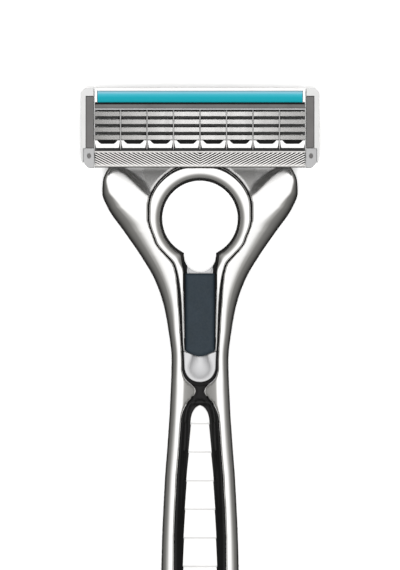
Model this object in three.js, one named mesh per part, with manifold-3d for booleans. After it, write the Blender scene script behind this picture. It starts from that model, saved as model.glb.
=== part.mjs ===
// Cartridge razor lying on its back: blades face +Z, the cartridge is at the +Y end, the grip runs to -Y.
// Millimetres. Y = 0 is the centre of the round opening in the head until the last line moves the group.
import * as THREE from "three";
import { mergeVertices } from "three/addons/utils/BufferGeometryUtils.js";
import Module from "manifold-3d";

const wasm = await Module();
wasm.setup();

// Handle outline: [y, half width], [y, height of the back], [y, height of the front], [y, squareness].
const NOSE_END = 13.2;
const BODY_END = -111.8;
const BUTT_END = -117;
const HALF_WIDTH = [
  [NOSE_END, 9], [11.5, 12.6], [8.9, 16.2], [6.5, 17.2], [4.5, 17.3], [1.8, 16.3], [-2.4, 13.4],
  [-6.6, 10.5], [-10.9, 8], [-15.1, 6.5], [-19.4, 5.65], [-25, 5.03], [-33, 5.3], [-41, 5.82],
  [-46, 6.2], [-60, 6.8], [-75, 7], [-90, 6.6], [-105, 5.7], [BODY_END, 5],
];
const BACK = [
  [NOSE_END, 7.4], [8, 6.9], [0, 6.6], [-8, 6.2], [-15, 5.2], [-22, 3.7], [-30, 2], [-38, 0.9],
  [-48, 0.35], [-104, 0.35], [BODY_END, 0.9],
];
const FRONT = [
  [NOSE_END, 12.2], [10.5, 12.3], [8, 13], [-31, 13], [-45, 12.8], [-60, 12.6], [-80, 12],
  [-100, 10.9], [BODY_END, 9.9],
];
const SQUARENESS = [[NOSE_END, 6], [4, 5], [-10, 4.5], [-30, 3.4], [-48, 3]];

// Keyhole opening, bezel, slider and back cover.
const OPENING_R = 6.7;
const BEZEL_R = 9.05;
const POCKET_R = 9.3;
const COVER_R = 10.4;
const BEZEL_FLOOR = 10.1;
const HEAD_FRONT = 13;
const SLOT_FLOOR = 7.9;
const SLOT_TOP_HALF = 3.9;
const SLOT_LOW_HALF = 3.35;
const SLOT_END = -29.2;
const SLIDER_Z = [8.25, 9.7];
const BUTTON_HALF = 2.75;
const BUTTON_Y = [-24, -9.75];

// Pivot of the cartridge and the parts that plug into the head.
const PIVOT_Y = 14.7;
const PIVOT_Z = 12;
const PLUNGER_Z = 10;
const DOCK_BACK = 13.5;

// Grip insert.
const GRIP_TOP = -31.7;
const GRIP_LOW = -106;
const STEP_PITCH = 5.06;
const INSERT_TOP = -33.1;
const INSERT_LOW = -104.6;

// Cartridge.
const CART_BACK = 15;
const EDGE_Z = 20.2;
const INNER_HALF = 18.55;
const BLADE_PITCH = 1.38;
const FIRST_EDGE = 18.05;
const CELL = 4.66;
const CELLS = 8;
const FIN_PITCH = 0.7;
const FIN_SLOPE = Math.tan(Math.PI / 6);

const COLOURS = {
  chrome: [0xc9c9cb, 1, 0.12],
  steel: [0xc2c4c6, 1, 0.25],
  navy: [0x333c47, 0, 0.5],
  pale: [0xcfd2d4, 0, 0.4],
  white: [0xf4f4f2, 0, 0.45],
  black: [0x111214, 0, 0.2],
  rubber: [0x2a2c2f, 0, 0.7],
  teal: [0x17a6b6, 0, 0.5],
  grey: [0x6d6b6b, 0, 0.4],
  fin: [0xb9b5b2, 0, 0.6],
};

// ---- solids -------------------------------------------------------------------------------------

function solid(geometry) {
  geometry.deleteAttribute("normal");
  geometry.deleteAttribute("uv");
  const merged = mergeVertices(geometry, 1e-4);
  return new wasm.Manifold(
    new wasm.Mesh({
      numProp: 3,
      vertProperties: merged.attributes.position.array,
      triVerts: new Uint32Array(merged.index.array),
    }),
  );
}

function geometryOf(body) {
  const mesh = body.getMesh();
  const positions = new Float32Array(mesh.numVert * 3);
  for (let i = 0; i < mesh.numVert; i++) {
    positions.set(mesh.vertProperties.subarray(i * mesh.numProp, i * mesh.numProp + 3), i * 3);
  }
  const geometry = new THREE.BufferGeometry();
  geometry.setAttribute("position", new THREE.BufferAttribute(positions, 3));
  geometry.setIndex(new THREE.BufferAttribute(mesh.triVerts, 1));
  const flat = geometry.toNonIndexed();
  flat.computeVertexNormals();
  return flat;
}

const join = (...bodies) => bodies.reduce((all, body) => all.add(body));
const cut = (body, ...tools) => tools.reduce((rest, tool) => rest.subtract(tool), body);

function box([x0, x1], [y0, y1], [z0, z1]) {
  const geometry = new THREE.BoxGeometry(x1 - x0, y1 - y0, z1 - z0);
  return solid(geometry.translate((x0 + x1) / 2, (y0 + y1) / 2, (z0 + z1) / 2));
}

function rod(axis, [from, to], [a, b], radius, segments = 24) {
  const geometry = new THREE.CylinderGeometry(radius, radius, to - from, segments);
  const middle = (from + to) / 2;
  if (axis === "x") geometry.rotateZ(Math.PI / 2).translate(middle, a, b);
  if (axis === "y") geometry.translate(a, middle, b);
  if (axis === "z") geometry.rotateX(Math.PI / 2).translate(a, b, middle);
  return solid(geometry);
}

// A flat outline in X and Y, given height along Z.
function plate(points, [z0, z1]) {
  const shape = new THREE.Shape(points.map(([x, y]) => new THREE.Vector2(x, y)));
  const geometry = new THREE.ExtrudeGeometry(shape, { depth: z1 - z0, bevelEnabled: false });
  return solid(geometry.translate(0, 0, z0));
}

// An outline in Y and Z, run along X.
function bar(points, [x0, x1]) {
  const shape = new THREE.Shape(points.map(([y, z]) => new THREE.Vector2(y, z)));
  const geometry = new THREE.ExtrudeGeometry(shape, { depth: x1 - x0, bevelEnabled: false });
  const turn = new THREE.Matrix4().makeBasis(
    new THREE.Vector3(0, 1, 0),
    new THREE.Vector3(0, 0, 1),
    new THREE.Vector3(1, 0, 0),
  );
  return solid(geometry.applyMatrix4(turn).translate(x0, 0, 0));
}

function mirrored(body) {
  return body.mirror([1, 0, 0]);
}

function bothSides(body) {
  return join(body, mirrored(body));
}

function tube(points, radius, steps, sides) {
  const section = new THREE.Shape();
  section.absarc(0, 0, radius, 0, 2 * Math.PI);
  const path = new THREE.CatmullRomCurve3(points.map((p) => new THREE.Vector3(...p)), false, "catmullrom", 0.15);
  return solid(new THREE.ExtrudeGeometry(section, { extrudePath: path, steps, curveSegments: sides }));
}

// A smooth curve through a table of [y, value], highest y first, with no overshoot.
function along(table, y) {
  if (y >= table[0][0]) return table[0][1];
  const last = table.length - 1;
  if (y <= table[last][0]) return table[last][1];
  const i = table.findIndex(([at], k) => k < last && y <= at && y >= table[k + 1][0]);
  const secant = (k) => (table[k + 1][1] - table[k][1]) / (table[k + 1][0] - table[k][0]);
  const tangent = (k) => {
    if (k === 0 || k === last) return 0;
    const [before, after] = [secant(k - 1), secant(k)];
    return before * after <= 0 ? 0 : (2 * before * after) / (before + after);
  };
  const span = table[i + 1][0] - table[i][0];
  const t = (y - table[i][0]) / span;
  const ease = t * t * (3 - 2 * t);
  const lean = span * (tangent(i) * t * (1 - t) ** 2 - tangent(i + 1) * t * t * (1 - t));
  return table[i][1] * (1 - ease) + table[i + 1][1] * ease + lean;
}

// A body of rounded-rectangle sections, one at each row of Y.
function loft(rows, section, segments) {
  const geometry = new THREE.CylinderGeometry(1, 1, 1, segments, rows.length - 1);
  const position = geometry.attributes.position;
  for (let i = 0; i < position.count; i++) {
    const y = rows[Math.round((0.5 - position.getY(i)) * (rows.length - 1))];
    const { half, back, front, power } = section(y);
    const round = (v) => (Math.abs(v) < 1e-6 ? 0 : Math.sign(v) * Math.abs(v) ** (2 / power));
    const r = Math.hypot(position.getX(i), position.getZ(i));
    const across = r > 0.5 ? round(position.getX(i)) : 0;
    const up = r > 0.5 ? round(position.getZ(i)) : 0;
    position.setXYZ(i, half * across, y, (back + front) / 2 + ((front - back) / 2) * up);
  }
  return solid(geometry);
}

function spaced(from, to, count) {
  return Array.from({ length: count + 1 }, (_, i) => from + ((to - from) * i) / count);
}

// Rows that crowd towards two rounded ends.
function archRows(top, low, radius, steps, count) {
  const ends = Array.from({ length: steps }, (_, i) => 1 - Math.cos(((i + 0.35) / steps) * (Math.PI / 2)));
  const upper = ends.map((e) => top - radius * e);
  const lower = ends.map((e) => low + radius * e).reverse();
  return [...upper, ...spaced(top - radius, low + radius, count), ...lower];
}

// 1 along the middle of a strip, falling to 0 round its two arched ends.
function archWidth(y, top, low, radius) {
  const inside = Math.min(top - y, y - low, radius);
  return Math.sqrt(Math.max(0, 1 - (1 - inside / radius) ** 2));
}

// Circle with a slot that narrows towards a rounded lower end.
function keyhole(radius, topHalf, lowHalf, end, z, segments = 48) {
  const slot = plate([[-topHalf, -4], [-lowHalf, end + lowHalf], [lowHalf, end + lowHalf], [topHalf, -4]], z);
  return join(
    rod("z", z, [0, 0], radius, segments),
    slot,
    rod("z", z, [0, end + lowHalf], lowHalf, 24),
  );
}

// ---- handle -------------------------------------------------------------------------------------

const frontAt = (y) => along(FRONT, y);
const coreHalf = (y) => Math.min(along(HALF_WIDTH, y) - 1.75, 4.9);

function handleSection(y) {
  return {
    half: along(HALF_WIDTH, y),
    back: along(BACK, y),
    front: frontAt(y),
    power: along(SQUARENESS, y),
  };
}

function gripChannel(clearance, floor, above) {
  const [top, low] = [GRIP_TOP + clearance, GRIP_LOW - clearance];
  return loft(
    archRows(top, low, 4, 4, 9),
    (y) => ({
      half: (coreHalf(y) + clearance) * archWidth(y, top, low, 4),
      back: floor - clearance,
      front: frontAt(y) + above,
      power: 8,
    }),
    16,
  );
}

function handleFrame() {
  const rows = [...spaced(NOSE_END, 8, 4), ...spaced(6.5, -28, 14), ...spaced(-33, BODY_END, 12)];
  const web = plate([[14.6, 9.8], [8.4, 4.6], [4, 9.8]], [11.3, 15]);
  const webs = bothSides(cut(web, rod("z", [11, 16], [0, 0], 9.9, 48)));
  const socket = box([3.1, 6.2], [9.9, 14], [8.3, 10.9]);
  const prongSlot = box([6.7, 8.5], [0, 14], [8.05, 9.95]);
  const armSweep = join(
    rod("z", [8.05, 9.95], [0, 1.6], 9.05, 48),
    rod("z", [8.05, 9.95], [0, 3.2], 9.05, 48),
  ).intersect(box([6.7, 9.4], [-8, 5], [8, 10]));
  return cut(
    loft(rows, handleSection, 32),
    rod("z", [0, 20], [0, 0], POCKET_R, 48),
    keyhole(6, SLOT_TOP_HALF + 0.15, SLOT_LOW_HALF + 0.15, SLOT_END - 0.15, [SLOT_FLOOR, 20]),
    coverOutline(COVER_R + 0.2, 4.6, -12.8, [0, 7.95]),
    webs,
    bothSides(socket),
    bothSides(join(prongSlot, armSweep)),
    rod("y", [9.9, 15], [0, PLUNGER_Z], 1.5, 28),
    gripChannel(0.15, 5.2, 3),
    padOutline(4.15, [-1, 2.2]),
    rod("y", [BODY_END - 1, BODY_END + 5], [0, 5.4], 1.9, 24),
  );
}

function keyholeBezel() {
  const z = [BEZEL_FLOOR, HEAD_FRONT];
  const funnel = new THREE.CylinderGeometry(7.9, OPENING_R, 3, 48).rotateX(Math.PI / 2);
  return cut(
    keyhole(BEZEL_R, SLOT_TOP_HALF, SLOT_LOW_HALF, SLOT_END, z),
    keyhole(6, 2.95, 2.95, SLOT_END + 0.4, [BEZEL_FLOOR - 1, HEAD_FRONT + 1]),
    solid(funnel.translate(0, 0, BEZEL_FLOOR + 1.5)),
  );
}

function coverOutline(radius, half, end, z) {
  return join(rod("z", z, [0, 0], radius, 40), box([-half, half], [end, -6], z));
}

function headBackCover() {
  const z = [6.3, 7.8];
  const post = box([-0.9, 0.9], [-12.4, -11.9], [7, 9.9]);
  return join(
    cut(coverOutline(COVER_R, 4.4, -12.6, z), keyhole(6.9, 2.85, 2.85, -9.5, [5, 9])),
    post,
  );
}

function thumbBowl() {
  const low = rod("z", [8.1, 11.9], [0, -25.85], 2.8, 36).intersect(box([-3, 3], [-30, -25], [8, 12]));
  const block = join(low, box([-2.8, 2.8], [-25.85, -24.75], [8.1, 11.9]));
  const tongue = box([-2.6, 2.6], [-26, -21.1], [8.1, 9.7]);
  const dish = new THREE.SphereGeometry(5, 24, 14).scale(0.55, 0.78, 0.5).translate(0, -24.9, 12.4);
  return cut(join(block, tongue), solid(dish));
}

function gripCore() {
  const trough = loft(
    archRows(GRIP_TOP - 0.3, GRIP_LOW + 0.3, 3.8, 4, 9),
    (y) => ({
      half: (coreHalf(y) - 0.25) * archWidth(y, GRIP_TOP - 0.3, GRIP_LOW + 0.3, 3.8),
      back: frontAt(y) - 2,
      front: frontAt(y) + 2,
      power: 2,
    }),
    16,
  );
  return cut(gripChannel(0, 5.4, -0.3), trough, insertBody(0.22, 8, () => 4));
}

const insertHalf = (y) => coreHalf(y) - 1.9;

function insertRows() {
  const rows = archRows(INSERT_TOP, INSERT_LOW, 2.4, 4, 1).slice(0, 4);
  for (let y = INSERT_TOP - 3; y > INSERT_LOW + 2.6; y -= STEP_PITCH) {
    rows.push(y, y - 0.12);
  }
  const ends = archRows(INSERT_TOP, INSERT_LOW, 2.4, 4, 1).slice(-4);
  return [...rows, INSERT_LOW + 2.4, ...ends];
}

function insertBody(clearance, floor, top) {
  return loft(
    insertRows(),
    (y) => ({
      half: insertHalf(y) * Math.max(0.3, archWidth(y, INSERT_TOP, INSERT_LOW, 2.4)) + clearance,
      back: floor - clearance,
      front: frontAt(y) + top(y),
      power: 7,
    }),
    12,
  );
}

// Each step falls away over its pitch and then jumps back up.
function gripInsert() {
  const step = (y) => {
    const run = (INSERT_TOP - 3 - y) / STEP_PITCH;
    return -1.75 + 0.4 * (1 - (run - Math.floor(run + 1e-6)));
  };
  return insertBody(0, 8.2, step);
}

function padOutline(half, z) {
  const [top, low] = [-52 + half - 4, -100 - half + 4];
  const round = (y) => rod("z", z, [0, y], half, 32);
  return join(box([-half, half], [low + half, top - half], z), round(top - half), round(low + half));
}

function gripBackPad() {
  const grooves = spaced(-58.5, -93.5, 7).map((y) => box([-5, 5], [y - 0.5, y + 0.5], [-1, 0.6]));
  return cut(padOutline(4, [0, 2]), ...grooves);
}

function buttCap() {
  const start = BODY_END - 0.25;
  const depth = start - BUTT_END;
  const rows = [start, ...Array.from({ length: 6 }, (_, i) => start - depth * Math.sin(((i + 1) / 6) * 1.5))];
  rows[rows.length - 1] = BUTT_END;
  const cap = loft(
    rows,
    (y) => {
      const shrink = Math.sqrt(Math.max(0.05, 1 - ((start - y) / depth) ** 2));
      return { half: 5 * shrink, back: 5.4 - 4.5 * shrink, front: 5.4 + 4.5 * shrink, power: 3 };
    },
    24,
  );
  return join(cap, rod("y", [start - 1, BODY_END + 4.5], [0, 5.4], 1.7, 24));
}

// ---- release slider and plunger -----------------------------------------------------------------

function releaseButton() {
  const [low, top] = BUTTON_Y;
  const outline = [[-BUTTON_HALF, top], [-BUTTON_HALF, low + 0.3]];
  for (let i = 1; i < 12; i++) {
    const x = -BUTTON_HALF + (2 * BUTTON_HALF * i) / 12;
    outline.push([x, low + 0.3 - 0.75 * Math.cos((x / BUTTON_HALF) * (Math.PI / 2))]);
  }
  outline.push([BUTTON_HALF, low + 0.3], [BUTTON_HALF, top]);
  return plate(outline, [BEZEL_FLOOR, 12.7]);
}

function ejectorSlider() {
  const z = SLIDER_Z;
  const ring = cut(rod("z", z, [0, 0], 8.8, 48), rod("z", [8, 10], [0, 0], 7, 48));
  const arms = cut(ring, box([-10, 10], [1.5, 10], [8, 10]));
  const prongs = bothSides(box([7, 8.2], [0, 10.3], z));
  const carrier = box([-3.3, 3.3], [-20.7, -6.2], z);
  const notch = join(rod("z", [8, 10], [0, -6.65], 2.65, 40), box([-2.65, 2.65], [-6.65, -5], [8, 10]));
  const springWindow = box([-1.15, 1.15], [-19.4, -11.6], [8, 10]);
  return cut(join(arms, prongs, carrier), notch, springWindow);
}

function coil(from, to, z, radius, wire, turns) {
  const count = turns * 6;
  const points = Array.from({ length: count + 1 }, (_, i) => {
    const angle = (i / 6) * 2 * Math.PI;
    return [radius * Math.cos(angle), from + ((to - from) * i) / count, z + radius * Math.sin(angle)];
  });
  return tube(points, wire, count, 2);
}

function buttonSpring() {
  return coil(-19.15, -12.65, 9, 0.55, 0.13, 6);
}

function returnPlunger() {
  const shank = rod("y", [11.9, 15.7], [0, PLUNGER_Z], 1.25, 28);
  return cut(shank, rod("y", [11, 14.9], [0, PLUNGER_Z], 0.9, 24));
}

function plungerSpring() {
  return coil(10.1, 14.7, PLUNGER_Z, 0.62, 0.13, 5);
}

// ---- connector ----------------------------------------------------------------------------------

function connectorYoke() {
  const bridge = box([-9, 9], [DOCK_BACK, 16.2], [6.7, 8.2]);
  const shoulder = box([3.2, 9], [DOCK_BACK, 15.2], [6.7, 11]);
  const dock = box([3.4, 5.9], [10.2, 14], [8.6, 10.6]);
  const arm = join(
    box([7.7, 9], [DOCK_BACK, 15.9], [6.7, PIVOT_Z]),
    rod("x", [7.7, 9], [PIVOT_Y, PIVOT_Z], 1.2, 28),
  );
  const hole = rod("x", [7, 10], [PIVOT_Y, PIVOT_Z], 0.67, 28);
  return join(bridge, bothSides(cut(join(shoulder, dock, arm), hole)));
}

function pivotPin() {
  return rod("x", [7.5, 10.7], [PIVOT_Y, PIVOT_Z], 0.6, 28);
}

// ---- cartridge ----------------------------------------------------------------------------------

const edgeY = (i) => FIRST_EDGE - BLADE_PITCH * i;

function cartridgeHousing() {
  const floorTop = 16.1;
  const body = box([-18.5, 18.5], [9.3, 22.8], [CART_BACK, 18.4]);
  const pocket = box([-18.1, 18.1], [12, 19.4], [floorTop, 19]);
  // Rinse slots lie in the shadow of the blades, so the face looks closed between them.
  const slots = [0, 1, 2, 3].flatMap((i) =>
    spaced(-3.5 * CELL, 3.5 * CELL, CELLS - 1).map((x) =>
      box([x - 1.9, x + 1.9], [edgeY(i) + 0.2, edgeY(i) + 0.88], [CART_BACK - 1, floorTop + 1]),
    ),
  );
  const lug = join(
    rod("x", [9.25, 10.45], [PIVOT_Y, PIVOT_Z], 1.3, 28),
    box([9.25, 10.45], [PIVOT_Y - 1.3, PIVOT_Y + 1.3], [PIVOT_Z, CART_BACK + 0.5]),
  );
  const lugs = bothSides(cut(lug, rod("x", [9, 11], [PIVOT_Y, PIVOT_Z], 0.67, 28)));
  const cam = box([-1.2, 1.2], [PIVOT_Y + 1.15, PIVOT_Y + 2.3], [PIVOT_Z - 2.4, CART_BACK + 0.5]);
  const camRoot = box([-3, 3], [PIVOT_Y + 1.15, PIVOT_Y + 2.3], [CART_BACK, CART_BACK + 1]);
  return join(cut(body, pocket, ...slots), lugs, cam, camRoot);
}

function stripTray() {
  return cut(
    box([-INNER_HALF, INNER_HALF], [20.45, 22.95], [18.5, 20.6]),
    box([-18.25, 18.25], [20.6, 22.5], [19.2, 22]),
  );
}

function lubricatingStrip() {
  const outline = [[20.7, 19.3], [22.4, 19.3], [22.4, 20.35], [22.1, 20.75], [20.95, 20.95], [20.7, 20.75]];
  return bar(outline, [-18.15, 18.15]);
}

function capBar() {
  const outline = [[19.5, 18.5], [20.3, 18.5], [20.3, 20.4], [19.8, 20.35], [19.75, 20.1], [19.5, 20.05]];
  return bar(outline, [-INNER_HALF, INNER_HALF]);
}

function blade(i) {
  const y = edgeY(i);
  const outline = [[y, EDGE_Z], [y + 0.15, EDGE_Z - 0.2], [y + 0.9, EDGE_Z - 0.5], [y + 0.9, EDGE_Z - 0.36]];
  return bar(outline, [-18.6, 18.6]);
}

function bladeSupport(i) {
  const y = edgeY(i);
  const outline = [
    [y + 0.3, EDGE_Z - 0.36], [y + 0.3, EDGE_Z - 0.62], [y + 0.62, EDGE_Z - 0.75],
    [y + 0.62, 16.4], [y + 0.9, 16.4], [y + 0.9, EDGE_Z - 0.6],
  ];
  return bar(outline, [-17.9, 17.9]);
}

function wireWrap(x) {
  const [low, top] = [EDGE_Z + 0.12, EDGE_Z + 0.36];
  const staple = [
    [12.13, 17], [12.37, 17], [12.37, low - 0.1], [12.5, low], [18.9, low], [19.05, low - 0.15],
    [19.05, 17], [19.29, 17], [19.29, top - 0.3], [19, top], [12.4, top], [12.13, top - 0.25],
  ];
  return bar(staple, [x - 0.12, x + 0.12]);
}

function guardBar() {
  const rail = box([-17.95, 17.95], [12.5, 13.8], [17, 19.3]);
  const foot = [
    [-2.18, 12.5], [2.18, 12.5], [2.18, 13.82], [1.7, 13.82], [1.25, 13.18], [-1.25, 13.18],
    [-1.7, 13.82], [-2.18, 13.82],
  ];
  const feet = spaced(-3.5 * CELL, 3.5 * CELL, CELLS - 1).map((x) =>
    plate(foot, [19.2, EDGE_Z - 0.05]).translate([x, 0, 0]),
  );
  return join(rail, ...feet);
}

function finGuard() {
  const base = box([-INNER_HALF, INNER_HALF], [9, 11.9], [18.5, 19.6]);
  const rims = join(
    box([-INNER_HALF, INNER_HALF], [11.65, 11.9], [19, 20.3]),
    box([-INNER_HALF, INNER_HALF], [9, 9.3], [19, 20.1]),
  );
  const thick = FIN_PITCH / 2;
  const fall = 2.6;
  const run = fall / FIN_SLOPE;
  const fins = [];
  for (let x = -run - 0.1; x < INNER_HALF; x += FIN_PITCH) {
    const outline = [[x, 9.2], [x + thick, 9.2], [x + thick + run, 9.2 + fall], [x + run, 9.2 + fall]];
    fins.push(plate(outline, [19.5, 20.4]));
  }
  const field = join(...fins).intersect(box([0.12, INNER_HALF], [9.1, 11.75], [19, 21]));
  return join(base, rims, bothSides(field));
}

function endCap() {
  const outline = [
    [18.8, 23], [20.1, 23], [21, 22.1], [21, 10.7], [20.7, 9.9], [20.65, 9.8], [20.65, 12.35],
    [20.2, 12.35], [20.2, 21.8], [18.8, 21.8],
  ];
  return plate(outline, [CART_BACK, 20.9]);
}

function sideClip() {
  return cut(
    box([18.8, 20.05], [12.45, 21.65], [CART_BACK - 0.2, 20.6]),
    box([18, 18.95], [12, 22], [CART_BACK + 0.6, 17.5]),
  );
}

function cornerPad() {
  const outline = [[18.8, 12.25], [20.5, 12.25], [20.5, 9.7], [20, 8.95], [18.8, 8.95]];
  const dimple = new THREE.CylinderGeometry(1, 1, 1, 20).rotateX(Math.PI / 2).scale(0.42, 0.52, 1);
  return cut(plate(outline, [CART_BACK, 20.3]), solid(dimple.translate(19.55, 11.05, 20.4)));
}

// ---- assembly -----------------------------------------------------------------------------------

const razor = new THREE.Group();
razor.name = "cartridge_razor";

function put(name, body, colour) {
  const [color, metalness, roughness] = COLOURS[colour];
  const mesh = new THREE.Mesh(geometryOf(body), new THREE.MeshStandardMaterial({ color, metalness, roughness }));
  mesh.name = name;
  razor.add(mesh);
}

function putPair(name, body, colour) {
  put(name + "_right", body, colour);
  put(name + "_left", mirrored(body), colour);
}

put("handle_frame", handleFrame(), "chrome");
put("keyhole_bezel", keyholeBezel(), "chrome");
put("head_back_cover", headBackCover(), "grey");
put("thumb_bowl", thumbBowl(), "pale");
put("grip_core", gripCore(), "black");
put("grip_insert", gripInsert(), "white");
put("grip_back_pad", gripBackPad(), "rubber");
put("butt_cap", buttCap(), "chrome");
put("release_button", releaseButton(), "navy");
put("ejector_slider", ejectorSlider(), "pale");
put("button_spring", buttonSpring(), "steel");
put("return_plunger", returnPlunger(), "pale");
put("plunger_spring", plungerSpring(), "steel");
put("connector_yoke", connectorYoke(), "grey");
putPair("pivot_pin", pivotPin(), "steel");

put("cartridge_housing", cartridgeHousing(), "black");
put("strip_tray", stripTray(), "pale");
put("lubricating_strip", lubricatingStrip(), "teal");
put("cap_bar", capBar(), "grey");
put("guard_bar", guardBar(), "white");
put("fin_guard", finGuard(), "fin");
for (let i = 0; i < 4; i++) {
  put("blade_" + (i + 1), blade(i), "steel");
  put("blade_support_" + (i + 1), bladeSupport(i), "steel");
}
for (let i = 1; i < CELLS; i++) {
  put("wire_wrap_" + i, wireWrap((i - CELLS / 2) * CELL), "steel");
}
putPair("end_cap", endCap(), "white");
putPair("side_clip", sideClip(), "grey");
putPair("corner_pad", cornerPad(), "pale");

// The origin is the middle of the bounding box's underside.
const bounds = new THREE.Box3().setFromObject(razor, true);
razor.position.set(
  -(bounds.min.x + bounds.max.x) / 2,
  -(bounds.min.y + bounds.max.y) / 2,
  -bounds.min.z,
);

export default razor;
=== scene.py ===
"""Cartridge razor lying on its back, seen from straight above. Lengths are in mm until mesh_piece()."""
import math

import bmesh
import bpy
import numpy as np
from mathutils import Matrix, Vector


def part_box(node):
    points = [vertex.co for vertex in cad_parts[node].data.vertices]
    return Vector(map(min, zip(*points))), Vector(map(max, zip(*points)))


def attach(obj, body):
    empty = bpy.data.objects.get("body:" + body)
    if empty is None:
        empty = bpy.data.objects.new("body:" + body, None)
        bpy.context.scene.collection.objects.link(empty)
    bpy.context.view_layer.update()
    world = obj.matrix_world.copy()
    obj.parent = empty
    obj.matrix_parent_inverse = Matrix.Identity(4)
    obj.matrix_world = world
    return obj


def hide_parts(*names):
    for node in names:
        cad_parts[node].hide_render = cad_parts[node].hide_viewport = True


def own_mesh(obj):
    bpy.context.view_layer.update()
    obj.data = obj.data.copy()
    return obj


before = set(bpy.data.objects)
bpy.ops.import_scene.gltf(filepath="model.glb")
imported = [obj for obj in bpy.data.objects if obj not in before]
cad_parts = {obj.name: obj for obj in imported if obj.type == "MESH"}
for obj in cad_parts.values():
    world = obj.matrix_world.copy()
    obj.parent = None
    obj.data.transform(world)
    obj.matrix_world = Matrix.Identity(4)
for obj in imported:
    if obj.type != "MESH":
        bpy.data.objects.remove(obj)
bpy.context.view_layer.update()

MM = 0.001

# The drawing's own origin is the centre of the round opening; the CAD box of the bezel says where that is.
BEZEL_R = 9.05
bezel_low, bezel_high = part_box("keyhole_bezel")
RING = Vector(((bezel_low.x + bezel_high.x) / 2, bezel_high.y - BEZEL_R * MM, 0))

NOSE_END, BODY_END, BUTT_END = 13.2, -111.8, -117.0
# Handle outline, [y, half width], and its back and front heights, [y, z].
HALF_WIDTH = [
    (-111.8, 5.0), (-105, 5.7), (-90, 6.6), (-75, 7.0), (-60, 6.8), (-46, 6.2), (-41, 5.82), (-33, 5.3),
    (-25, 5.03), (-19.4, 5.65), (-15.1, 6.5), (-10.9, 8.0), (-6.6, 10.5), (-2.4, 13.4), (1.8, 16.3),
    (4.5, 17.3), (6.5, 17.2), (8.9, 16.2), (11.5, 12.6), (13.2, 9.0),
]
BACK = [
    (-111.8, 0.9), (-104, 0.37), (-48, 0.37), (-38, 0.9), (-30, 2.0), (-22, 3.7), (-15, 5.2), (-8, 6.2),
    (0, 6.6), (8, 6.9), (13.2, 7.4),
]
FRONT = [
    (-111.8, 9.9), (-100, 10.9), (-80, 12.0), (-60, 12.6), (-45, 12.8), (-31, 13.0), (8, 13.0),
    (10.5, 12.3), (13.2, 12.2),
]

# Cartridge, as in the CAD.
CART_BACK = 15.0
EDGE_Z = 20.2
INNER_HALF = 18.55
BLADE_PITCH = 1.38
FIRST_EDGE = 18.05
CELL = 4.66
CELLS = 8
DIMPLE = (19.55, 11.05)
FIN_PITCH = 0.82
FIN_SLOPE = math.tan(math.radians(27))
STEP_PITCH = 5.06
# The cartridge's pieces sit this much lower than drawn, within the play of its pivots.
CARTRIDGE_SEAT = np.array([0, -0.12, 0]) * MM


# ---- meshes -------------------------------------------------------------------------------------

def mesh_piece(name, points, faces, body, slot, material, replaces=(), smooth=True):
    """Makes an object from points in drawing millimetres and ties it to its CAD body."""
    data = bpy.data.meshes.new(name)
    origin = np.array(RING) + (CARTRIDGE_SEAT if body == "cartridge" else 0)
    world = np.asarray(points, float) * MM + origin
    data.from_pydata(world.tolist(), [], [list(map(int, f)) for f in faces])
    data.validate()
    if smooth:
        data.polygons.foreach_set("use_smooth", [True] * len(data.polygons))
    data.materials.append(material)
    piece = bpy.data.objects.new(name, data)
    bpy.context.scene.collection.objects.link(piece)
    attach(piece, body)
    if replaces:
        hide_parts(*replaces)
    return piece


def soften(piece, width, segments=3, angle=35):
    """Rounds the piece's sharp edges; the width is in millimetres."""
    bevel = piece.modifiers.new("rounded_edges", "BEVEL")
    bevel.width = width * MM
    bevel.segments = segments
    bevel.limit_method = "ANGLE"
    bevel.angle_limit = math.radians(angle)
    bevel.harden_normals = True
    return piece


def prism(outline, low, high, axis="z"):
    """A flat outline given length along an axis. Outlines are (x, y) or, along x, (y, z)."""
    n = len(outline)
    area = sum(a[0] * b[1] - b[0] * a[1] for a, b in zip(outline, outline[1:] + outline[:1]))
    ring = list(outline) if area > 0 else list(outline)[::-1]
    if axis == "z":
        points = [(x, y, low) for x, y in ring] + [(x, y, high) for x, y in ring]
    else:
        points = [(low, y, z) for y, z in ring] + [(high, y, z) for y, z in ring]
    faces = [list(range(n))[::-1], list(range(n, 2 * n))]
    faces += [[i, (i + 1) % n, n + (i + 1) % n, n + i] for i in range(n)]
    return points, faces


def merged(*shapes):
    points, faces = [], []
    for some_points, some_faces in shapes:
        start = len(points)
        points += [tuple(p) for p in some_points]
        faces += [[i + start for i in face] for face in some_faces]
    return points, faces


def mirrored(shape):
    points, faces = shape
    return [(-x, y, z) for x, y, z in points], [list(face)[::-1] for face in faces]


def rounded_rect(x0, x1, y0, y1, radius, steps=5):
    corners = [(x1, y1, 0), (x0, y1, 90), (x0, y0, 180), (x1, y0, 270)]
    outline = []
    for x, y, turn in corners:
        cx = x - radius if x == x1 else x + radius
        cy = y - radius if y == y1 else y + radius
        for i in range(steps + 1):
            a = math.radians(turn + 90 * i / steps)
            outline.append((cx + radius * math.cos(a), cy + radius * math.sin(a)))
    return outline


def arc(cx, cy, radius, start, end, steps):
    """Points on a circle from one angle to another, in degrees."""
    angles = [math.radians(start + (end - start) * i / steps) for i in range(steps + 1)]
    return [(cx + radius * math.cos(a), cy + radius * math.sin(a)) for a in angles]


# ---- implicit surfaces --------------------------------------------------------------------------

def smax(a, b, r):
    """Larger of two fields, with a fillet of about r where they cross."""
    h = np.maximum(r - np.abs(a - b), 0) / r
    return np.maximum(a, b) + h * h * r / 4


def smin(a, b, r):
    return -smax(-a, -b, r)


def smooth_step(t):
    t = np.clip(t, 0, 1)
    return t * t * (3 - 2 * t)


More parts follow.
